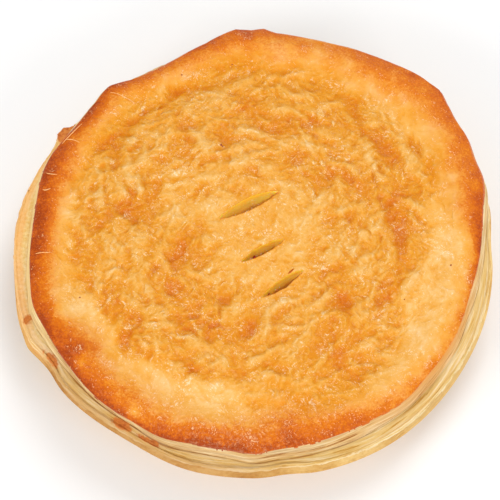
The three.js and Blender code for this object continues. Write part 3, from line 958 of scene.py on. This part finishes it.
def storeSlitDepth(obj):
    # 0 at the skin, 1 where the near lip hides the wall of a slit
    points = readPoints(obj) / mm
    deep = np.zeros(len(points))
    for (atX, atY, length, opening, degrees), level in zip(lid["slits"], lid["levels"]):
        x, y = points[:, 0] - pieMiddle[0] - atX, points[:, 1] - pieMiddle[1] - atY
        inside = np.hypot(x, y) < length * 0.6
        along = alongAcross(x, y, degrees)[0]
        gape = np.sqrt(np.clip(1 - (along / (length / 2)) ** 2, 0.05, 1))
        seen = (3.2 + 0.65 * opening) * gape  # mm of the wall
        deep[inside] = ((level - points[:, 2]) / seen)[inside]
    storeOnPoints(obj, slitDepth=deep)


def paleScratches(obj):
    # points that a scratch added have no tone yet
    points, tone = readPoints(obj) / mm, readAttribute(obj, "tone")
    for atX, atY, length, *rest in lid["scratches"]:
        near = np.hypot(points[:, 0] - pieMiddle[0] - atX, points[:, 1] - pieMiddle[1] - atY) < length / 2
        tone[near] = np.maximum(tone[near], lid["scratchTone"])
    obj.data.attributes["tone"].data.foreach_set("value", tone)


def inSlit(face):
    # steep or deep faces in a slit or close beside it
    x, y = face.center.x / mm - pieMiddle[0], face.center.y / mm - pieMiddle[1]
    steep, low = face.normal.z < 0.6, face.center.z / mm < lid["levels"][0] - 3
    for atX, atY, length, opening, degrees in lid["slits"] + lid["scratches"][:1]:
        along, across = alongAcross(x - atX, y - atY, degrees)
        if abs(along) < length / 2 + 0.5 and abs(across) < opening / 2 + 1.5 and (steep or low):
            return True
    return False


def dressLid(obj):
    for material in (glazedPuff(), cutLayers(), slitCrumb()):
        obj.data.materials.append(material)
    onSkin, onCut, onCrumb = range(3)  # in the order of the materials
    stepsPerDegree = 4
    storeSlitDepth(obj)
    paleScratches(obj)
    cut = readAttribute(obj, "cutEdge")
    skinEnds = skinDown(np.arange(0, 360, 1 / stepsPerDegree))
    for face in obj.data.polygons:
        degrees = math.degrees(math.atan2(face.center.y, face.center.x)) % 360
        if cut[list(face.vertices)].mean() > skinEnds[int(degrees * stepsPerDegree) % len(skinEnds)]:
            face.material_index = onCut
        else:
            face.material_index = onCrumb if inSlit(face) else onSkin


dressLid(lidPiece)
casePiece.data.materials.append(bakedShortcrust())
strandPiece.data.materials.append(looseBit("dry_pastry_thread", "#f0a858", "#fbd090", 0.6))
crustSpecks.data.materials.append(looseBit("charred_crumb", "#8a3008", "#b85418", 0.6))
meatSpecks.data.materials.append(looseBit("moist_steak", "#8a1808", "#c03018", 0.25))
fatSpecks.data.materials.append(looseBit("moist_fat", "#ecd8a8", "#fff4dc", 0.2))
for obj in (lidPiece, casePiece, strandPiece, crustSpecks, meatSpecks, fatSpecks):
    pickAll([obj])
    bpy.ops.object.shade_smooth_by_angle(angle=math.radians(50))
print("materials on")


# Floor, light and camera

studio = dict(
    floorSize=6, lampSize=0.6,  # metres
    floor="#f6f6f6", sky=0.54,
    lamps=[  # name, place in metres, power
        ("key_light", (0.3, 0.6, 0.95), 5.4), ("left_light", (-0.85, -0.7, 0.6), 7),
        ("right_light", (0.75, -0.8, 0.55), 5.4),
    ],
)
view = dict(
    elevation=66, distance=0.65,  # degrees, metres
    level=18, width=209.2,  # mm above the base, mm across the frame
    atX=252.5, atY=247.0, frame=500,  # pixel where the middle of the pie lies, and pixels across
    sensor=36,  # mm
)


def makeStage():
    startFresh()
    bpy.ops.mesh.primitive_plane_add(size=studio["floorSize"])
    floor = bpy.context.object
    floor.name = "floor"
    material, _, surface = startMaterial("pale_floor")
    setInputs(surface, {"Base Color": toLinear(studio["floor"]), "Roughness": 0.9})
    floor.data.materials.append(material)

    world = bpy.data.worlds.new("studio")
    world.use_nodes = True
    sky = world.node_tree.nodes["Background"]
    setInputs(sky, {"Color": (1, 1, 1, 1), "Strength": studio["sky"]})
    bpy.context.scene.world = world
    for name, place, power in studio["lamps"]:
        bpy.ops.object.light_add(type="AREA", location=place)
        lamp = bpy.context.object
        lamp.name = name
        lamp.data.size, lamp.data.energy = studio["lampSize"], power
        lamp.rotation_euler = (-Vector(place)).to_track_quat("-Z", "Y").to_euler()
    bpy.context.scene.view_settings.view_transform = "Standard"


def makeCamera():
    up = math.radians(view["elevation"])
    target = Vector((pieMiddle[0] * mm, pieMiddle[1] * mm, view["level"] * mm))
    bpy.ops.object.camera_add(location=target + view["distance"] * Vector((0, -math.cos(up), math.sin(up))))
    camera = bpy.context.object
    camera.rotation_euler = (math.pi / 2 - up, 0, 0)
    camera.data.sensor_width = view["sensor"]
    camera.data.lens = view["sensor"] * view["distance"] / (view["width"] * mm)
    half = view["frame"] / 2
    camera.data.shift_x = (half - view["atX"]) / view["frame"]
    camera.data.shift_y = (view["atY"] - half) / view["frame"]
    bpy.context.scene.camera = camera


makeStage()
makeCamera()
print("stage set")

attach(lidPiece, "root")
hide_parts("pastry_lid")
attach(casePiece, "root")
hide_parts("pastry_case")
for obj in (strandPiece, crustSpecks, meatSpecks, fatSpecks):
    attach(obj, "root")
